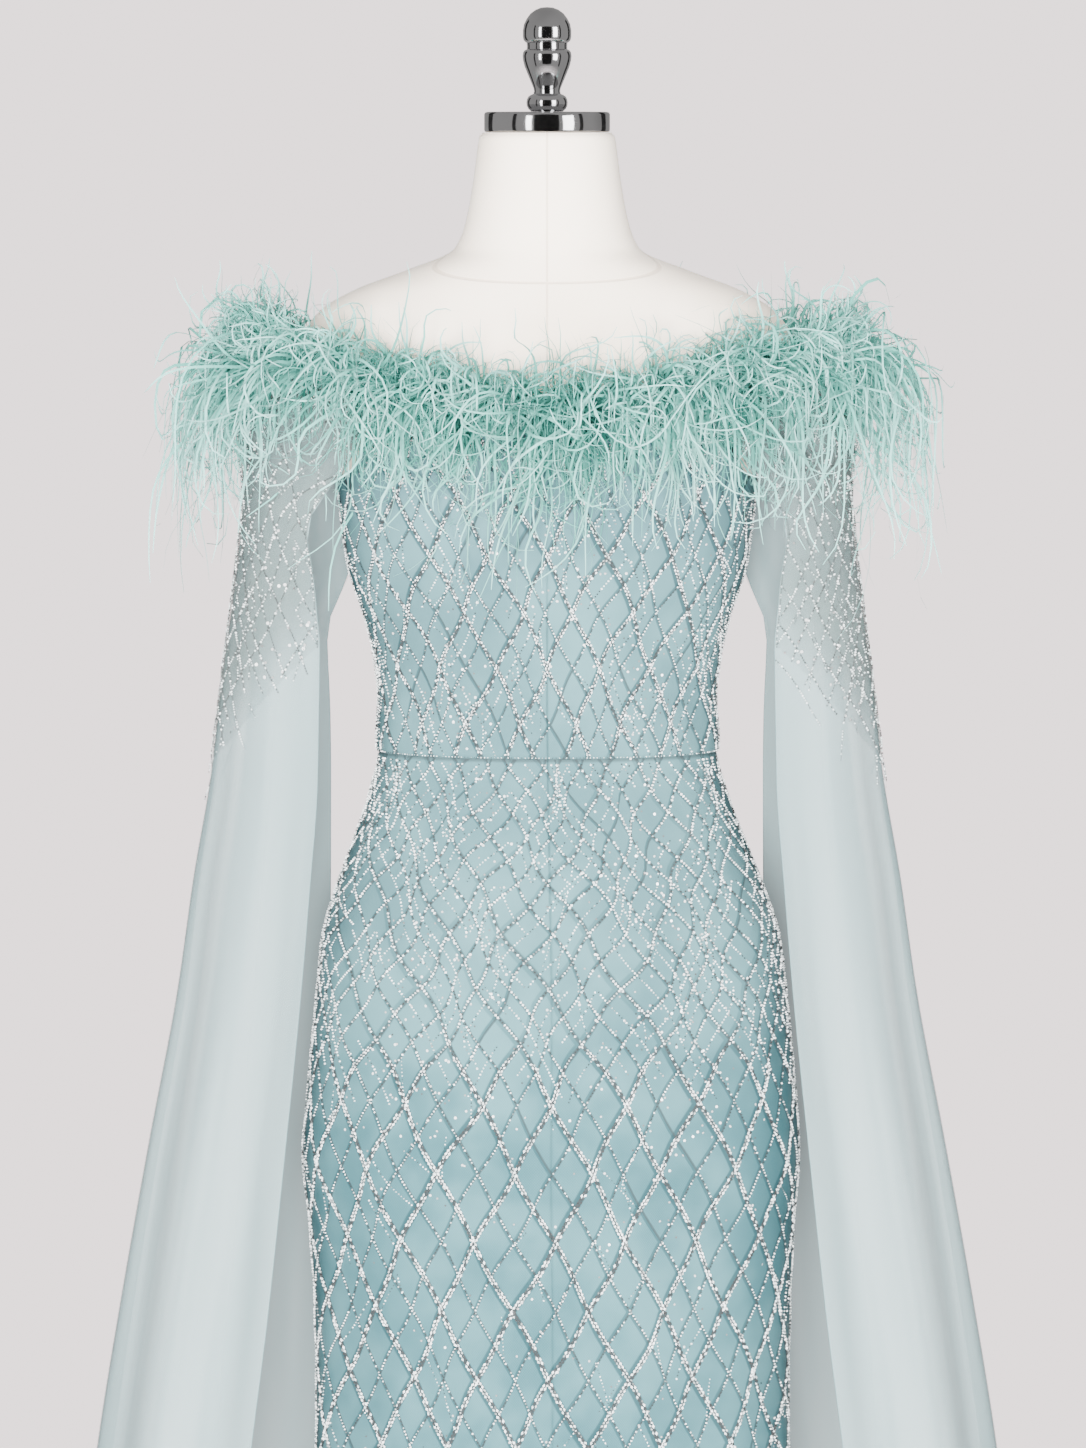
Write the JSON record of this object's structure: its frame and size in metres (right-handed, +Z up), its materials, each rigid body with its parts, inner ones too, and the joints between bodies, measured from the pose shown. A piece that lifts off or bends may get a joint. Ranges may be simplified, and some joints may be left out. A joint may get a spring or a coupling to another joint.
{
  "type": "off-shoulder evening gown on a limbless dress form",
  "caption": "Pale aqua off-shoulder evening gown with feather trim, beaded lattice net and sheer cape sleeves, on a linen dress form with a chrome cap.",
  "frame": {"origin": "middle of the stand's underside, on the floor", "axes": "+Z up, -Y towards the front of the gown, +X towards the wearer's left"},
  "size_m": [0.789, 0.3761, 1.603],
  "materials": {
    "linen": "matte",
    "chrome": "polished",
    "stand": "satin",
    "beaded_net": "satin",
    "sleeve_net": "satin",
    "chiffon": "matte",
    "feather": "matte",
    "silver_bead": "polished"
  },
  "bodies": {
    "root": {"form_torso": "linen", "neck_cap": "chrome", "finial": "chrome", "stand_pole": "stand", "stand_base": "stand", "bodice_front_left": "beaded_net", "bodice_front_right": "beaded_net", "bodice_back_left": "beaded_net", "bodice_back_right": "beaded_net", "skirt_front_left": "beaded_net", "skirt_front_right": "beaded_net", "skirt_back_left": "beaded_net", "skirt_back_right": "beaded_net", "sleeve_left_front": "chiffon", "sleeve_left_outer_front": "chiffon", "sleeve_left_outer_back": "chiffon", "sleeve_left_back": "chiffon", "sleeve_right_front": "chiffon", "sleeve_right_outer_front": "chiffon", "sleeve_right_outer_back": "chiffon", "sleeve_right_back": "chiffon", "sleeve_net_left": "sleeve_net", "sleeve_net_right": "sleeve_net", "feather_front": "feather", "feather_left": "feather", "feather_back": "feather", "feather_right": "feather"}
  },
  "joints": []
}
